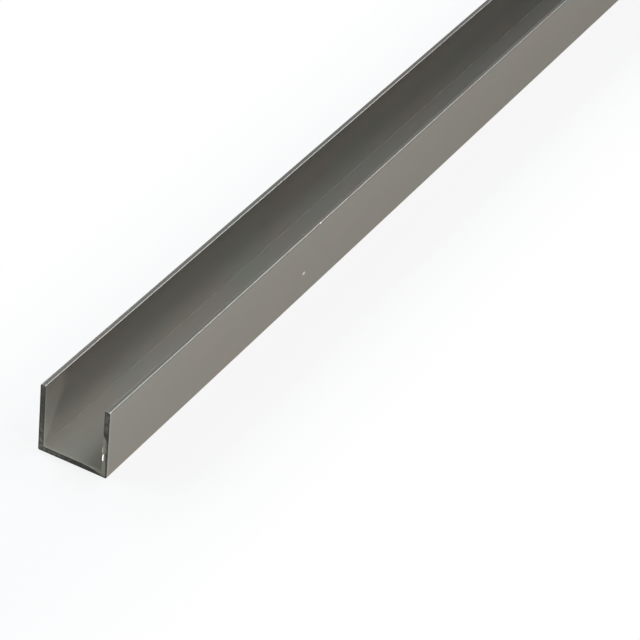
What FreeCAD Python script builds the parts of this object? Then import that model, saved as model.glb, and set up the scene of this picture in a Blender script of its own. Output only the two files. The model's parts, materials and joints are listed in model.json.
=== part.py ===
import FreeCAD, Part
import os
import Sketcher

# A length of square U-channel, extruded in one piece and sawn off square at both ends.
# It lies on its web with the open side up. X runs along the bar, Y across it from flange
# to flange, and Z up. The origin is under the middle of the web, at half the length.
# All sizes are in millimetres.

# Driving dimensions: name, value, what it is
SIZES = [
    ("bar_length", 1000.0, "sawn length of the stock"),
    ("outer_width", 20.0, "over both flanges"),
    ("outer_height", 20.0, "underside of the web to the flange tips"),
    ("web_thickness", 1.5, "the flat bottom of the section"),
    ("flange_thickness", 1.5, "each upright side of the section"),
    ("root_radius", 0.1, "inside corners, where the flanges meet the web"),
    ("heel_radius", 0.4, "outside corners under the section"),
    ("toe_radius", 0.35, "both edges of each flange tip"),
]

# The most of a flange's thickness that each of its two tip rounds may take
TOE_SHARE = 0.45

# How near an edge lies to the place that it is looked up by
EDGE_TOLERANCE = 1e-4

# The ends of a line, and the sketch's own origin, as constraints count them
START, END = 1, 2
LEVEL_AXIS, ORIGIN_POINT = -1, 1


def make_sheet(doc):
    """Write the driving dimensions to a spreadsheet, one named cell each."""
    sheet = doc.addObject("Spreadsheet::Sheet", "dimensions")
    for row, (name, value, meaning) in enumerate(SIZES, start=1):
        sheet.set("A%d" % row, name)
        sheet.set("B%d" % row, str(value))
        sheet.setAlias("B%d" % row, name)
        sheet.set("C%d" % row, meaning)
    doc.recompute()
    return sheet


def origin_plane(body, role):
    """The body's own origin plane with this role."""
    return next(plane for plane in body.Origin.OriginFeatures if plane.Role == role)


def section_outline(sheet):
    """Corners of the sharp U, from the left heel round by the right flange."""
    outer = sheet.outer_width / 2
    inner = outer - sheet.flange_thickness
    return [
        (-outer, 0.0),
        (outer, 0.0),
        (outer, sheet.outer_height),
        (inner, sheet.outer_height),
        (inner, sheet.web_thickness),
        (-inner, sheet.web_thickness),
        (-inner, sheet.outer_height),
        (-outer, sheet.outer_height),
    ]


def draw_section(body, sheet):
    """The section, open side up, its web standing on the level axis about the middle."""
    sketch = body.newObject("Sketcher::SketchObject", "section")
    sketch.AttachmentSupport = [(origin_plane(body, "YZ_Plane"), "")]
    sketch.MapMode = "FlatFace"

    corners = [FreeCAD.Vector(across, up, 0.0) for across, up in section_outline(sheet)]
    following = corners[1:] + corners[:1]
    lines = [sketch.addGeometry(Part.LineSegment(a, b), False) for a, b in zip(corners, following)]
    underside, right_outer, right_tip, right_inner, web_top, left_inner, left_tip, left_outer = lines

    def hold(kind, *where):
        return sketch.addConstraint(Sketcher.Constraint(kind, *where))

    def hold_size(name, kind, *where):
        """Fix a distance and tie it to the cell of the same name."""
        sketch.renameConstraint(hold(kind, *where, getattr(sheet, name)), name)
        sketch.setExpression("Constraints." + name, "dimensions." + name)

    for line, after in zip(lines, lines[1:] + lines[:1]):
        hold("Coincident", line, END, after, START)
    for line in (underside, right_tip, web_top, left_tip):
        hold("Horizontal", line)
    for line in (right_outer, right_inner, left_inner, left_outer):
        hold("Vertical", line)
    hold("Symmetric", underside, START, underside, END, LEVEL_AXIS, ORIGIN_POINT)
    hold("Equal", right_outer, left_outer)
    hold("Equal", right_tip, left_tip)

    hold_size("outer_width", "DistanceX", underside, START, underside, END)
    hold_size("outer_height", "DistanceY", right_outer, START, right_outer, END)
    hold_size("flange_thickness", "DistanceX", right_tip, END, right_tip, START)
    hold_size("web_thickness", "DistanceY", underside, END, right_inner, END)
    return sketch


def extrude_bar(doc, body, section):
    """Draw the section out along the bar, evenly about its middle."""
    bar = body.newObject("PartDesign::Pad", "bar")
    bar.Profile = section
    bar.SideType = "Symmetric"
    bar.setExpression("Length", "dimensions.bar_length")
    doc.recompute()


def edges_along_bar(shape, places):
    """Names of the edges that run along X through these (y, z) places."""

    def runs_through(edge, y, z):
        ends = [vertex.Point for vertex in edge.Vertexes]
        return all(max(abs(end.y - y), abs(end.z - z)) < EDGE_TOLERANCE for end in ends)

    return [
        "Edge%d" % number
        for number, edge in enumerate(shape.Edges, start=1)
        if any(runs_through(edge, y, z) for y, z in places)
    ]


def round_edges(doc, body, name, places, radius):
    """Round the long edges at these (y, z) places, with a radius from the sheet."""
    base = body.Tip
    edges = edges_along_bar(base.Shape, places)
    if len(edges) != len(places):
        raise RuntimeError("%s: %d edges at %d places" % (name, len(edges), len(places)))
    fillet = body.newObject("PartDesign::Fillet", name)
    fillet.Base = (base, edges)
    fillet.setExpression("Radius", radius)
    doc.recompute()


def make_channel(doc, sheet):
    """The channel in one solid: its section drawn out, then each kind of corner rounded."""
    body = doc.addObject("PartDesign::Body", "channel")
    body.Label = "channel"
    extrude_bar(doc, body, draw_section(body, sheet))

    corners = section_outline(sheet)
    heels, roots = corners[0:2], corners[4:6]
    toes = corners[2:4] + corners[6:8]
    widest_toe = "%s * dimensions.flange_thickness" % TOE_SHARE
    round_edges(doc, body, "roots", roots, "dimensions.root_radius")
    round_edges(doc, body, "heels", heels, "dimensions.heel_radius")
    round_edges(doc, body, "toes", toes, "min(dimensions.toe_radius; %s)" % widest_toe)
    return body


def check(doc, parts):
    """Stop before anything is written if an object failed or a shape isn't sound."""
    for item in doc.Objects:
        if "Invalid" in item.State or "Error" in item.State:
            raise RuntimeError("%s did not compute: %s" % (item.Name, item.State))
    for part in parts:
        if part.Shape.isNull() or not part.Shape.isValid():
            raise RuntimeError("%s has no sound shape" % part.Label)


def main():
    doc = FreeCAD.newDocument("metal_channel_section")
    sheet = make_sheet(doc)
    parts = [make_channel(doc, sheet)]
    doc.recompute()
    check(doc, parts)
    os.makedirs("parts", exist_ok=True)
    for part in parts:
        part.Shape.exportStep("parts/%s.step" % part.Label)


main()
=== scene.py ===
import json
import math

import bpy
from mathutils import Matrix, Vector


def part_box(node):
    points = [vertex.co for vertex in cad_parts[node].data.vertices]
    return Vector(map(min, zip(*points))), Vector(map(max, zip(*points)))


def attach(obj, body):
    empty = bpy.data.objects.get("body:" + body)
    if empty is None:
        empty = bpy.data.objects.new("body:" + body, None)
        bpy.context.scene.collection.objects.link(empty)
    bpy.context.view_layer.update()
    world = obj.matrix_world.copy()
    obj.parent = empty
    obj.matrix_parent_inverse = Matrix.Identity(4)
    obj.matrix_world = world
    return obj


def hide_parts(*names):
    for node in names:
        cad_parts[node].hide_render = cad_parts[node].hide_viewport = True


# A straight length of square metal channel, sawn off at both ends, lying on a pale floor.
# Each surface is drawn again with the saw's marks, the burrs and the finish of the real one.
# Everything is in metres, in the frame's own axes: X along the bar, Y across it, Z up.

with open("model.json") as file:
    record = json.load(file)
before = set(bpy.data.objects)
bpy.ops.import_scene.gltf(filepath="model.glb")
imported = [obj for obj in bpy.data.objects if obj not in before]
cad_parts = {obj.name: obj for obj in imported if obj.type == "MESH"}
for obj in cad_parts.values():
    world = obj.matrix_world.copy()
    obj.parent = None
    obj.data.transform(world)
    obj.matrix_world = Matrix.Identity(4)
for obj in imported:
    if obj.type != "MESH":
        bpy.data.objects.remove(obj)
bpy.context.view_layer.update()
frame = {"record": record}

# Sizes of the bar. The frame gives the box and the web's thickness.
BOX_LOW, BOX_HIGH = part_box("channel")
LENGTH = BOX_HIGH.x - BOX_LOW.x
WIDTH = BOX_HIGH.y - BOX_LOW.y
HEIGHT = BOX_HIGH.z
MOUNT_PLACES = {mount["name"]: Vector(mount["pos_m"]) for mount in frame["record"]["mounts"]}
WEB = MOUNT_PLACES["channel_floor"].z
FLANGE = 0.0015
HEEL_RADIUS = 0.0004
TOE_RADIUS = 0.00035

# The inside corners are sharper than the CAD's, so that they catch no line of light
ROOT_RADIUS = 0.00003

# The end that the camera looks at, the right flange's outer face, and half of the opening
CUT_END = BOX_LOW.x
RIGHT_FACE = BOX_LOW.y
INNER_HALF = WIDTH / 2 - FLANGE

# Seeds of everything random
SAW_SEED = 7.0
BURR_SEED = 3.0
FINISH_SEED = 11.0


# Node trees written as Python expressions


class Socket:
    """A node's output. Sums on it add Math nodes to its tree."""

    def __init__(self, graph, socket):
        self.graph = graph
        self.socket = socket

    def maths(self, operation, *values):
        return self.graph.node("ShaderNodeMath", {"operation": operation}, values)

    def __add__(self, other):
        return self.maths("ADD", self, other)

    def __radd__(self, other):
        return self.maths("ADD", other, self)

    def __sub__(self, other):
        return self.maths("SUBTRACT", self, other)

    def __rsub__(self, other):
        return self.maths("SUBTRACT", other, self)

    def __mul__(self, other):
        return self.maths("MULTIPLY", self, other)

    def __rmul__(self, other):
        return self.maths("MULTIPLY", other, self)

    def __truediv__(self, other):
        return self.maths("DIVIDE", self, other)

    def __rtruediv__(self, other):
        return self.maths("DIVIDE", other, self)

    def __mod__(self, other):
        return self.maths("MODULO", self, other)

    def __abs__(self):
        return self.maths("ABSOLUTE", self)

    def __lt__(self, other):
        return self.maths("LESS_THAN", self, other)

    def __gt__(self, other):
        return self.maths("GREATER_THAN", self, other)


class Graph:
    """A node tree to which nodes are added by one method."""

    def __init__(self, tree):
        self.tree = tree

    def node(self, kind, settings=None, values=(), output=0):
        """Add a node: its settings, then values or links by the name or order of its sockets.

        The output that is wanted is given by its name or order too.
        """
        node = self.tree.nodes.new(kind)
        for name, value in (settings or {}).items():
            setattr(node, name, value)
        live = [socket for socket in node.inputs if socket.enabled]
        by_name = {socket.name: socket for socket in reversed(live)}
        pairs = values.items() if isinstance(values, dict) else enumerate(values)
        for key, value in pairs:
            target = by_name[key] if isinstance(key, str) else live[key]
            for item in value if isinstance(value, list) else [value]:
                if isinstance(item, Socket):
                    self.tree.links.new(item.socket, target)
                else:
                    target.default_value = item
        outputs = [socket for socket in node.outputs if socket.enabled]
        if isinstance(output, str):
            output = [socket.name for socket in outputs].index(output)
        return Socket(self, outputs[output])

    def maths(self, operation, *values):
        return self.node("ShaderNodeMath", {"operation": operation}, values)

    def vector(self, x, y, z):
        return self.node("ShaderNodeCombineXYZ", {}, (x, y, z))

    def vector_maths(self, operation, *values):
        return self.node("ShaderNodeVectorMath", {"operation": operation}, values)

    def axis(self, vector, letter):
        return self.node("ShaderNodeSeparateXYZ", {}, (vector,), letter)

    def mix(self, kind, factor, first, second, blend="MIX"):
        """A blend of two numbers (FLOAT), vectors (VECTOR) or colours (RGBA)."""
        settings = {"data_type": kind}
        if kind == "RGBA":
            settings["blend_type"] = blend
        return self.node("ShaderNodeMix", settings, {"Factor": factor, "A": first, "B": second})

    def ramp(self, value, low, high):
        """A smooth climb from 0 at low to 1 at high. It falls where low is the greater."""
        settings = {"interpolation_type": "SMOOTHSTEP"}
        if low > high:
            return 1 - self.node("ShaderNodeMapRange", settings, (value, high, low))
        return self.node("ShaderNodeMapRange", settings, (value, low, high))

    def noise(self, vector, scale=1.0, detail=2.0, roughness=0.5):
        values = {"Vector": vector, "Scale": scale, "Detail": detail, "Roughness": roughness}
        return self.node("ShaderNodeTexNoise", {"noise_dimensions": "3D"}, values)


def geometry_tree(name, inputs):
    """A Geometry Nodes tree with these named inputs: (name, socket kind, value)."""
    tree = bpy.data.node_groups.new(name, "GeometryNodeTree")
    for label, kind, value in inputs:
        item = tree.interface.new_socket(label, in_out="INPUT", socket_type="NodeSocket" + kind)
        if value is not None:
            item.default_value = value
    tree.interface.new_socket("Geometry", in_out="OUTPUT", socket_type="NodeSocketGeometry")
    graph = Graph(tree)
    group = tree.nodes.new("NodeGroupInput")
    sockets = {label: Socket(graph, group.outputs[label]) for label, _, _ in inputs}
    return graph, sockets


def end_tree(graph, geometry):
    out = graph.tree.nodes.new("NodeGroupOutput")
    graph.tree.links.new(geometry.socket, out.inputs["Geometry"])


def baked_object(name, graph, settings):
    """The tree's result as a plain mesh object, with these inputs set."""
    carrier = bpy.data.objects.new(name + "_maker", bpy.data.meshes.new(name + "_maker"))
    bpy.context.scene.collection.objects.link(carrier)
    modifier = carrier.modifiers.new("shape", "NODES")
    modifier.node_group = graph.tree
    for item in graph.tree.interface.items_tree:
        if item.in_out == "INPUT" and item.name in settings:
            modifier[item.identifier] = settings[item.name]
    # Flats shade flat right up to their rounded edges
    shading = carrier.modifiers.new("shading", "WEIGHTED_NORMAL")
    shading.mode = "FACE_AREA"
    shading.weight = 100
    shading.keep_sharp = True
    evaluated = carrier.evaluated_get(bpy.context.evaluated_depsgraph_get())
    mesh = bpy.data.meshes.new_from_object(evaluated)
    bpy.data.objects.remove(carrier)
    mesh.name = name
    piece = bpy.data.objects.new(name, mesh)
    bpy.context.scene.collection.objects.link(piece)
    return piece


# The swept section

# Points nearer than this become one point
MERGE_DISTANCE = 0.000001

# An edge that turns by more than this is a sharp one, in radians
SHARP_ANGLE = 1.0

# Features a metre of the saw's grooves, across the bar and up it
GROOVES_ACROSS = 2600
GROOVES_UP = 900


def guide_line(graph, half, top, seat, radius, corner_steps, flat_cuts):
    """An open line down one flange, along the web and up the other, rounded at the web."""
    right = half * -1
    corners = {
        "Point 1": graph.vector(0, half, top),
        "Point 2": graph.vector(0, half, seat),
        "Point 3": graph.vector(0, right, seat),
        "Point 4": graph.vector(0, right, top),
    }
    ring = graph.node("GeometryNodeCurvePrimitiveQuadrilateral", {"mode": "POINTS"}, corners)
    line = graph.node("GeometryNodeSetSplineCyclic", {}, {"Geometry": ring, "Cyclic": False})
    rounded = graph.node(
        "GeometryNodeFilletCurve",
        {"mode": "POLY"},
        {"Curve": line, "Count": corner_steps, "Radius": radius},
    )
    index = graph.node("GeometryNodeInputIndex")
    starts_flat = index % (corner_steps + 1) < 0.5
    cuts = starts_flat * flat_cuts
    return graph.node("GeometryNodeSubdivideCurve", {}, {"Curve": rounded, "Cuts": cuts})


def point_of(graph, line, index):
    """The place of one point of a line."""
    position = graph.node("GeometryNodeInputPosition")
    settings = {"data_type": "FLOAT_VECTOR", "domain": "POINT", "clamp": True}
    return graph.node(
        "GeometryNodeSampleIndex", settings, {"Geometry": line, "Value": position, "Index": index}
    )


def sheet_of_points(graph, columns, rows):
    """A grid of points, and each one's column and row."""
    sheet = graph.node("GeometryNodeMeshGrid", {}, {"Vertices X": columns, "Vertices Y": rows})
    index = graph.node("GeometryNodeInputIndex")
    column = graph.maths("FLOOR", (index + 0.5) / rows)
    return sheet, column, index - column * rows


SECTION_INPUTS = [
    ("Length", "Float", LENGTH),
    ("Width", "Float", WIDTH),
    ("Height", "Float", HEIGHT),
    ("Web", "Float", WEB),
    ("Flange", "Float", FLANGE),
    ("Root Radius", "Float", ROOT_RADIUS),
    ("Heel Radius", "Float", HEEL_RADIUS),
    ("Toe Radius", "Float", TOE_RADIUS),
    ("Corner Steps", "Int", 6),
    ("Flat Cuts", "Int", 70),
]


def channel_tree():
    """A U-section drawn out along X, with rounded edges and sawn ends of a separate metal."""
    graph, size = geometry_tree(
        "channel_section",
        SECTION_INPUTS
        + [
            ("Wall Rows", "Int", 17),
            ("Saw Depth", "Float", 0.00004),
            ("Saw Seed", "Float", SAW_SEED),
            ("Bar Metal", "Material", None),
            ("Sawn Metal", "Material", None),
        ],
    )
    steps, cuts, rows = size["Corner Steps"], size["Flat Cuts"], size["Wall Rows"]
    outer_half = size["Width"] / 2
    inner_half = outer_half - size["Flange"]
    top, toe = size["Height"], size["Toe Radius"]
    outer = guide_line(graph, outer_half, top, 0, size["Heel Radius"], steps, cuts)
    inner = guide_line(graph, inner_half, top, size["Web"], size["Root Radius"], steps, cuts)

    # One sheet of points across the section, from the outer line to the inner one
    columns = graph.node("GeometryNodeAttributeDomainSize", {"component": "CURVE"}, (outer,))
    sheet, column, row = sheet_of_points(graph, columns, rows)
    inward = (1 - graph.maths("COSINE", row / (rows - 1) * math.pi)) / 2
    spot = graph.mix(
        "VECTOR", inward, point_of(graph, outer, column), point_of(graph, inner, column)
    )

    # The flange tips are rounded off towards both faces
    nearest = graph.maths("MINIMUM", inward, 1 - inward)
    reach = graph.maths("MAXIMUM", toe - nearest * size["Flange"], 0)
    drop = toe - graph.maths("SQRT", toe * toe - reach * reach)
    below_tip = top - graph.axis(spot, "Z")
    fading = graph.maths("MAXIMUM", 1 - below_tip / (toe * 4), 0)
    lowered = graph.vector(
        size["Length"] / -2, graph.axis(spot, "Y"), graph.axis(spot, "Z") - drop * fading
    )
    section = graph.node("GeometryNodeSetPosition", {}, {"Geometry": sheet, "Position": lowered})
    section = graph.node(
        "GeometryNodeStoreNamedAttribute",
        {"data_type": "FLOAT", "domain": "POINT"},
        {"Geometry": section, "Name": "across_wall", "Value": inward},
    )

    # Drawn out along the bar, and closed at the near end
    drawn = graph.node(
        "GeometryNodeExtrudeMesh",
        {"mode": "FACES"},
        {
            "Mesh": section,
            "Offset": graph.vector(size["Length"], 0, 0),
            "Individual": False,
        },
    )
    near_end = graph.node("GeometryNodeFlipFaces", {}, (section,))
    open_bar = graph.node("GeometryNodeJoinGeometry", {}, {"Geometry": [near_end, drawn]})
    bar = graph.node(
        "GeometryNodeMergeByDistance", {}, {"Geometry": open_bar, "Distance": MERGE_DISTANCE}
    )

    # The saw leaves shallow ragged grooves, cut into the ends only
    position = graph.node("GeometryNodeInputPosition")
    end = graph.maths("SIGN", graph.axis(position, "X"))
    ragged = graph.vector(
        end * size["Saw Seed"],
        graph.axis(position, "Y") * GROOVES_ACROSS,
        graph.axis(position, "Z") * GROOVES_UP,
    )
    depth = graph.noise(ragged, detail=3.0) * size["Saw Depth"]
    bar = graph.node(
        "GeometryNodeSetPosition",
        {},
        {"Geometry": bar, "Offset": graph.vector(end * depth * -1, 0, 0)},
    )

    # Smooth along the bar, sharp round the cuts
    angle = graph.node("GeometryNodeInputMeshEdgeAngle")
    bar = graph.node(
        "GeometryNodeSetShadeSmooth",
        {"domain": "EDGE"},
        {"Geometry": bar, "Selection": angle > SHARP_ANGLE, "Shade Smooth": False},
    )
    facing = graph.axis(graph.node("GeometryNodeInputNormal"), "X")
    bar = graph.node("GeometryNodeRealizeInstances", {}, {"Geometry": bar})
    bar = graph.node(
        "GeometryNodeSetMaterial", {}, {"Geometry": bar, "Material": size["Bar Metal"]}
    )
    bar = graph.node(
        "GeometryNodeSetMaterial",
        {},
        {"Geometry": bar, "Selection": abs(facing) > 0.5, "Material": size["Sawn Metal"]},
    )
    end_tree(graph, bar)
    return graph


# How far along the inner edge of the cut each wall starts or ends. The line runs down the left
# flange, over the web and up the right flange.
LEFT_WALL = HEIGHT - WEB
FLOOR_SPAN = INNER_HALF * 2
RIGHT_WALL = LEFT_WALL + FLOOR_SPAN

# Burrs that the saw left there: where each starts and ends along that line, how far it stands
# up, how far it leans out of the cut, and how far its foot is set back into the wall
BURRS = [
    (RIGHT_WALL + 0.0033, RIGHT_WALL + 0.0056, 0.00022, 0.00018, 0.00027),
    (RIGHT_WALL + 0.0056, RIGHT_WALL + 0.0078, 0.00007, 0.00004, 0.00006),
    (LEFT_WALL + 0.0116, LEFT_WALL + 0.0158, 0.00012, 0.00005, 0.00003),
]

# Features a metre of their torn edges, and how far apart their patterns lie
TEARS = 2600
TEAR_SPREAD = 900


def burr_tree():
    """Thin torn fins along the inner edge of the cut that the camera looks at."""
    graph, size = geometry_tree(
        "cut_burrs",
        SECTION_INPUTS
        + [
            ("Points Along", "Int", 48),
            ("Root Thickness", "Float", 0.00012),
            ("Burr Seed", "Float", BURR_SEED),
            ("Burr Metal", "Material", None),
        ],
    )
    inner_half = size["Width"] / 2 - size["Flange"]
    inner = guide_line(
        graph, inner_half, size["Height"], size["Web"], size["Root Radius"], size["Corner Steps"], 0
    )
    sheet, column, row = sheet_of_points(graph, size["Points Along"], 4)
    share = column / (size["Points Along"] - 1)
    cut = size["Length"] / -2
    is_tip = abs(row - 1) < 0.5
    is_back = abs(row - 2) < 0.5

    fins = []
    for start, end, height, lean, setback in BURRS:
        along = share * (end - start) + start
        sample = {"mode": "LENGTH", "data_type": "FLOAT"}
        place, heading = (
            graph.node("GeometryNodeSampleCurve", sample, {"Curves": inner, "Length": along}, output)
            for output in ("Position", "Tangent")
        )
        away = graph.vector(0, graph.axis(heading, "Z"), graph.axis(heading, "Y") * -1)
        tears = graph.vector(along * TEARS, size["Burr Seed"], start * TEAR_SPREAD)
        torn = graph.noise(tears, detail=3.0)
        swell = graph.maths("SINE", share * math.pi)
        stand = (torn * 1.3 + 0.35) * swell * height
        ahead = cut - is_tip * swell * lean + is_back * size["Root Thickness"]
        off_wall = is_tip * stand - setback
        spot = graph.vector_maths("MULTIPLY_ADD", away, off_wall, place)
        fin = graph.node(
            "GeometryNodeSetPosition",
            {},
            {
                "Geometry": sheet,
                "Position": graph.vector(ahead, graph.axis(spot, "Y"), graph.axis(spot, "Z")),
            },
        )
        fins.append(
            graph.node("GeometryNodeMergeByDistance", {}, {"Geometry": fin, "Distance": MERGE_DISTANCE})
        )
    burrs = graph.node("GeometryNodeJoinGeometry", {}, {"Geometry": fins})
    burrs = graph.node("GeometryNodeRealizeInstances", {}, {"Geometry": burrs})
    burrs = graph.node(
        "GeometryNodeSetMaterial", {}, {"Geometry": burrs, "Material": size["Burr Metal"]}
    )
    end_tree(graph, burrs)
    return graph


# Materials

# The bar's two faint shades, its grazing reflection, and the painted shade that darkens the flange
# tips' rounded edges to dim their highlight
WARM_METAL = (0.378, 0.349, 0.317, 1.0)
COOL_METAL = (0.364, 0.353, 0.320, 1.0)
EDGE_ON_TINT = (0.25, 0.25, 0.25, 1.0)
EDGE_PAINTED_SHADE = (0.760, 0.742, 0.712, 1.0)

# The painted highlight on the metal next to the cut, the cut itself, the metal smeared over it, and
# bare bright metal, whose lightness on the burrs is partly a painted highlight
END_HIGHLIGHT_METAL = (0.55, 0.54, 0.49, 1.0)
SAWN_DARK = (0.018, 0.018, 0.012, 1.0)
SAWN_LIGHT = (0.190, 0.187, 0.155, 1.0)
SMEARED_METAL = (0.190, 0.186, 0.152, 1.0)
BRIGHT_METAL = (0.95, 0.93, 0.86, 1.0)

# Features a metre along the bar, across it and up
DIE_LINES = (5, 3600, 3600)
STAINS = (28, 110, 110)
GRAIN = (900, 5200, 5200)
MOTTLE = (900, 900, 900)
TORN = (4000, 4000, 4000)

# Where in the noise a faint stain begins and ends
STAIN_EDGE = (0.38, 0.62)

# Depths of the die lines and of the saw's roughness in the shading
DIE_LINE_DEPTH = 0.0000008
SAWN_DEPTH = 0.00002

# How far below a flange's tip its rounded edges, where the shade is painted, begin and end, each as a
# soft step
EDGE_BEGINS = (0.00001, 0.00004)
EDGE_ENDS = (0.0005, 0.0003)

# How far the painted highlight along the cut end reaches from the cut, as a soft step, and how strong
# it is
END_HIGHLIGHT_REACH = (0.0010, 0.0004)
END_HIGHLIGHT_STRENGTH = 0.35

# Small marks on the bar: place from the cut end, radius, and how far each brightens the metal.
# They are longer along the bar, by one over this number.
MARK_STRETCH = 0.7
MARKS = [
    ((0.0960, RIGHT_FACE, 0.0077), 0.00062, 1.0),
    ((0.1033, RIGHT_FACE + 0.00012, HEIGHT - 0.00012), 0.00040, 0.35),
    ((0.0955, RIGHT_FACE + FLANGE - 0.00012, HEIGHT - 0.00010), 0.00035, 0.7),
]


def new_material(name):
    material = bpy.data.materials.new(name)
    material.use_nodes = True
    material.node_tree.nodes.clear()
    return material, Graph(material.node_tree)


def end_shader(graph, shader):
    out = graph.tree.nodes.new("ShaderNodeOutputMaterial")
    graph.tree.links.new(shader.socket, out.inputs["Surface"])


def object_place(graph):
    """A point's place on the object, in metres."""
    return graph.node("ShaderNodeTexCoord", {}, (), "Object")


def stretched(graph, place, features):
    """Coordinates for a noise of this many features a metre each way."""
    scaled = graph.vector_maths("MULTIPLY", place, features)
    return graph.vector_maths("ADD", scaled, (FINISH_SEED, FINISH_SEED, FINISH_SEED))


def bar_metal():
    """Satin drawn metal: fine die lines along the bar, faint stains and a few small marks.

    The tips' rounded edges carry painted shade, and the metal by the cut a painted highlight.
    """
    material, graph = new_material("bar_metal")
    place = object_place(graph)
    die_lines = graph.noise(stretched(graph, place, DIE_LINES), detail=3.0, roughness=0.6)
    stains = graph.noise(stretched(graph, place, STAINS), detail=1.5)
    grain = graph.noise(stretched(graph, place, GRAIN), detail=2.0)

    stained = graph.ramp(stains, *STAIN_EDGE)
    colour = graph.mix("RGBA", stained, COOL_METAL, WARM_METAL)
    shade = die_lines * 0.03 + 0.985
    colour = graph.mix("RGBA", 1.0, colour, graph.vector(shade, shade, shade), "MULTIPLY")
    below_tip = HEIGHT - graph.axis(place, "Z")
    rounded = graph.ramp(below_tip, *EDGE_BEGINS) * graph.ramp(below_tip, *EDGE_ENDS)
    # Painted shade: the rounded tip edges are darkened so that their highlight is dimmer
    colour = graph.mix("RGBA", rounded, colour, EDGE_PAINTED_SHADE, "MULTIPLY")
    # Painted highlight: the metal within about a millimetre of the cut is made lighter
    from_cut = graph.axis(place, "X") - CUT_END
    end_highlight = graph.ramp(from_cut, *END_HIGHLIGHT_REACH) * END_HIGHLIGHT_STRENGTH
    colour = graph.mix("RGBA", end_highlight, colour, END_HIGHLIGHT_METAL)
    drawn_out = graph.vector_maths("MULTIPLY", place, (MARK_STRETCH, 1, 1))
    for (along, across, up), radius, strength in MARKS:
        spot = ((CUT_END + along) * MARK_STRETCH, across, up)
        distance = graph.vector_maths("DISTANCE", drawn_out, spot)
        mark = graph.ramp(distance, radius, radius * 0.4) * strength
        colour = graph.mix("RGBA", mark, colour, BRIGHT_METAL)

    bump = graph.node(
        "ShaderNodeBump",
        {},
        {"Strength": 1.0, "Distance": DIE_LINE_DEPTH, "Height": die_lines + grain * 0.3},
    )
    shader = graph.node(
        "ShaderNodeBsdfPrincipled",
        {},
        {
            "Base Color": colour,
            "Metallic": 0.8,
            "Roughness": die_lines * 0.03 + 0.275,
            "Specular Tint": EDGE_ON_TINT,
            "Normal": bump,
        },
    )
    end_shader(graph, shader)
    return material


# The saw blade's centre, seen from the cut end, and its grooves for each metre of radius
BLADE_PLACE = (0.0, 0.070, 0.115)
GROOVES = 3200

# How light the cut is at its darkest, and where it is worn lighter, by distance from the left
# heel: from, to, and by how much
LEFT_HEEL = (0.0, WIDTH / 2, 0.0)
LEAST_WORN = 0.20
WORN = [
    (0.0120, 0.0020, 0.68),
    (0.0165, 0.0210, 0.38),
]

# A dark blotch on the right flange's cut, how far it reaches as a soft step, and how dark it is
BLOTCH_PLACE = (0.0, RIGHT_FACE + FLANGE / 2, 0.0122)
BLOTCH_REACH = (0.0022, 0.0010)
BLOTCH_STRENGTH = 0.85

# The share of the wall that the smear leaves bare at the right flange's tip, and how that
# changes on the way down the flange and along the web: from, to, and by how much
BARE_AT_TIP = 1.1
BARE_CHANGES = [
    (0.0086, 0.0094, -0.65),
    (0.0150, 0.0185, -0.15),
    (0.0205, 0.0245, 0.80),
]


def sawn_metal():
    """The cut: dull, dark and mottled, darkest at its edges, smeared light where the saw left it."""
    material, graph = new_material("sawn_metal")
    place = object_place(graph)
    flat = graph.vector_maths("MULTIPLY", place, (0, 1, 1))
    reach = graph.vector_maths("DISTANCE", flat, BLADE_PLACE)
    arcs = graph.noise(graph.vector(reach * GROOVES, 0, FINISH_SEED), detail=3.0, roughness=0.7)
    mottle = graph.noise(stretched(graph, place, MOTTLE), detail=3.0, roughness=0.6)
    across = graph.node("ShaderNodeAttribute", {"attribute_name": "across_wall"}, (), "Fac")

    # Both edges of the wall are darker than its middle
    edge = graph.maths("MINIMUM", across, 1 - across)
    body = graph.ramp(edge, 0.06, 0.34) * 0.75 + 0.25

    # The left heel is lightest. One blotch, and what lies 12 to 16 mm from the heel, are darkest.
    from_heel = graph.vector_maths("DISTANCE", flat, LEFT_HEEL)
    worn = LEAST_WORN
    for start, end, gain in WORN:
        worn = graph.ramp(from_heel, start, end) * gain + worn
    from_blotch = graph.vector_maths("DISTANCE", flat, BLOTCH_PLACE)
    unstained = 1 - graph.ramp(from_blotch, *BLOTCH_REACH) * BLOTCH_STRENGTH
    light = graph.ramp(mottle * 0.7 + arcs * 0.3, 0.34, 0.64) * body * worn * unstained
    colour = graph.mix("RGBA", light, SAWN_DARK, SAWN_LIGHT)

    # Metal smeared over the inner side of the right flange, round its heel and along the web
    side = graph.axis(place, "Y")
    round_cut = side - graph.axis(place, "Z") + (HEIGHT - RIGHT_FACE)
    bare = BARE_AT_TIP
    for start, end, change in BARE_CHANGES:
        bare = graph.ramp(round_cut, start, end) * change + bare
    ragged = (mottle - 0.5) * 0.35
    smear = graph.ramp(across + ragged - bare, -0.08, 0.08) * (side < INNER_HALF)
    colour = graph.mix("RGBA", smear, colour, SMEARED_METAL)

    bump = graph.node(
        "ShaderNodeBump", {}, {"Strength": 1.0, "Distance": SAWN_DEPTH, "Height": arcs + mottle}
    )
    shader = graph.node(
        "ShaderNodeBsdfPrincipled",
        {},
        {
            "Base Color": colour,
            "Metallic": 0.3,
            "Roughness": mottle * 0.3 + 0.40,
            "Normal": bump,
        },
    )
    end_shader(graph, shader)
    return material


def burr_metal():
    """Freshly torn metal, bright partly by itself and partly as a painted highlight."""
    material, graph = new_material("burr_metal")
    torn = graph.noise(stretched(graph, object_place(graph), TORN), detail=2.0)
    # The bright share is partly a painted highlight on the burrs
    colour = graph.mix("RGBA", graph.ramp(torn, 0.30, 0.45), SMEARED_METAL, BRIGHT_METAL)
    shader = graph.node(
        "ShaderNodeBsdfPrincipled",
        {},
        {"Base Color": colour, "Metallic": 0.5, "Roughness": torn * 0.2 + 0.25},
    )
    end_shader(graph, shader)
    return material


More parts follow.
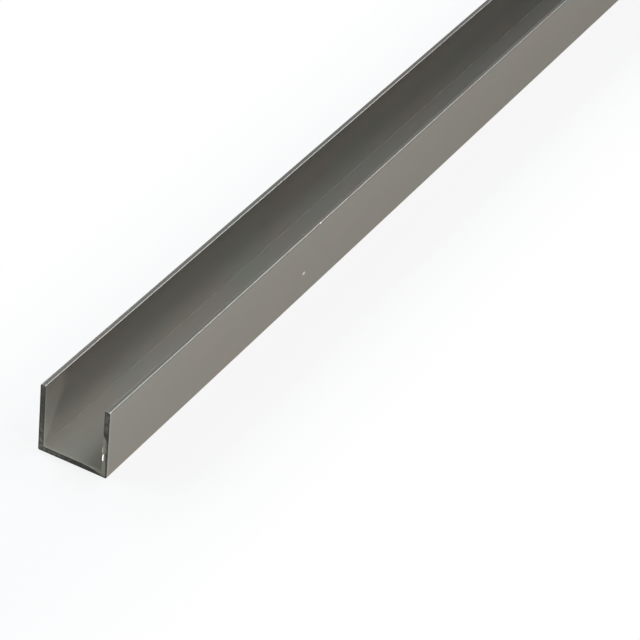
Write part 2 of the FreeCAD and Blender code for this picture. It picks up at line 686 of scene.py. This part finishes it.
# How white the floor is by itself next to the bar, how white the metal shows it there, and how
# far out from the bar it is wholly white
WHITE_SHARE = 0.82
WHITE_IN_METAL = 0.34
WHITE_REACH = 0.055

PALE_FLOOR = (0.92, 0.92, 0.92, 1.0)
PLAIN_WHITE = (1.0, 1.0, 1.0, 1.0)


def lookers(graph):
    """Masks of what looks at a background: the camera, a glossy surface, a clear one."""
    looks = ("Is Camera Ray", "Is Glossy Ray", "Is Transmission Ray")
    return [graph.node("ShaderNodeLightPath", {}, (), look) for look in looks]


def floor_material():
    """A pale floor that takes the bar's soft shadow and runs out into a white background."""
    material, graph = new_material("floor")
    pale = graph.node(
        "ShaderNodeBsdfPrincipled",
        {},
        {"Base Color": PALE_FLOOR, "Roughness": 0.9, "Specular IOR Level": 0.0},
    )
    white = graph.node("ShaderNodeEmission", {}, {"Color": PLAIN_WHITE, "Strength": 1.0})
    camera, glossy, clear = lookers(graph)
    seen = graph.maths("MINIMUM", camera + glossy + clear, 1)
    beside = abs(graph.axis(object_place(graph), "Y")) - WIDTH / 2
    least = camera * (WHITE_SHARE - WHITE_IN_METAL) + WHITE_IN_METAL
    share = graph.ramp(beside, 0, WHITE_REACH) * (1 - least) + least
    shader = graph.node("ShaderNodeMixShader", {}, {0: seen * share, 1: pale, 2: white})
    end_shader(graph, shader)
    material.cycles.emission_sampling = "NONE"
    return material


# Camera, light and floor

CAMERA_PLACE = Vector((CUT_END - 0.46848, -0.28927, 0.43669))
CAMERA_AIM = Vector((0.73605, 0.35593, -0.57581))
CAMERA_ROLL = math.radians(6.299)
LENS = 160.69

# The lamps stand round a place near the cut end, this far off
LIGHT_CENTRE = Vector((CUT_END + 0.08, 0.0, 0.0))
LIGHT_DISTANCE = 4.0

# How bright the plain surroundings are as a light, and as the metal shows them
AMBIENT = 0.05
SKY_IN_METAL = 0.26

FLOOR_HALF = 15.0

COOL_LIGHT = (0.86, 0.955, 1.03)
WARM_LIGHT = (1.0, 0.945, 0.88)

# Softboxes: bearing and height in degrees as seen from the bar, the angles they span across and
# up, brightness and colour. The last stands below the floor.
SOFTBOXES = [
    ("left_wall", 91, 25, 82, 49, 3.4, COOL_LIGHT),
    ("far_right", 330, 42, 56, 18, 4.7, COOL_LIGHT),
    ("near_right", 267, 24, 46, 20, 4.9, WARM_LIGHT),
    ("below_front", 243, -36, 7, 7, 140, WARM_LIGHT),
]


def make_camera():
    data = bpy.data.cameras.new("camera")
    data.lens = LENS
    data.sensor_width = 36.0
    data.clip_start = 0.01
    data.clip_end = 100.0
    camera = bpy.data.objects.new("camera", data)
    turn = CAMERA_AIM.to_track_quat("-Z", "Y").to_matrix().to_4x4()
    camera.matrix_world = (
        Matrix.Translation(CAMERA_PLACE) @ turn @ Matrix.Rotation(CAMERA_ROLL, 4, "Z")
    )
    bpy.context.scene.collection.objects.link(camera)
    bpy.context.scene.camera = camera


def softbox(name, bearing, height, span_across, span_up, brightness, colour):
    """A plain rectangular lamp that faces the bar, as bright as a white of this strength."""
    turn, lift = math.radians(bearing), math.radians(height)
    heading = Vector(
        (math.cos(turn) * math.cos(lift), math.sin(turn) * math.cos(lift), math.sin(lift))
    )
    data = bpy.data.lights.new(name, "AREA")
    data.shape = "RECTANGLE"
    data.color = colour
    data.size = 2 * LIGHT_DISTANCE * math.tan(math.radians(span_across / 2))
    data.size_y = 2 * LIGHT_DISTANCE * math.tan(math.radians(span_up / 2))
    data.energy = brightness * math.pi * data.size * data.size_y
    lamp = bpy.data.objects.new(name, data)
    lamp.location = LIGHT_CENTRE + heading * LIGHT_DISTANCE
    lamp.rotation_euler = (-heading).to_track_quat("-Z", "Y").to_euler()
    bpy.context.scene.collection.objects.link(lamp)


def make_floor():
    mesh = bpy.data.meshes.new("floor")
    half = FLOOR_HALF
    corners = [(-half, -half, 0), (half, -half, 0), (half, half, 0), (-half, half, 0)]
    mesh.from_pydata(corners, [], [(0, 1, 2, 3)])
    mesh.materials.append(floor_material())
    floor = bpy.data.objects.new("floor", mesh)
    # The lamp below shines up through it, as through a light table
    floor.visible_shadow = False
    bpy.context.scene.collection.objects.link(floor)


def make_world():
    world = bpy.data.worlds.new("studio")
    bpy.context.scene.world = world
    world.use_nodes = True
    world.node_tree.nodes.clear()
    graph = Graph(world.node_tree)
    camera, glossy, clear = lookers(graph)
    seen = graph.maths("MAXIMUM", camera, clear)
    strength = graph.maths("MAXIMUM", seen, glossy * (SKY_IN_METAL - AMBIENT) + AMBIENT)
    light = graph.node("ShaderNodeBackground", {}, {"Color": PLAIN_WHITE, "Strength": strength})
    out = graph.tree.nodes.new("ShaderNodeOutputWorld")
    graph.tree.links.new(light.socket, out.inputs["Surface"])


bpy.context.scene.view_settings.view_transform = "Standard"
make_camera()
make_world()
for box in SOFTBOXES:
    softbox(*box)
make_floor()

bar = baked_object(
    "channel_bar", channel_tree(), {"Bar Metal": bar_metal(), "Sawn Metal": sawn_metal()}
)
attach(bar, "root")
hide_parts("channel")

burrs = baked_object("cut_burrs", burr_tree(), {"Burr Metal": burr_metal()})
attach(burrs, "root")
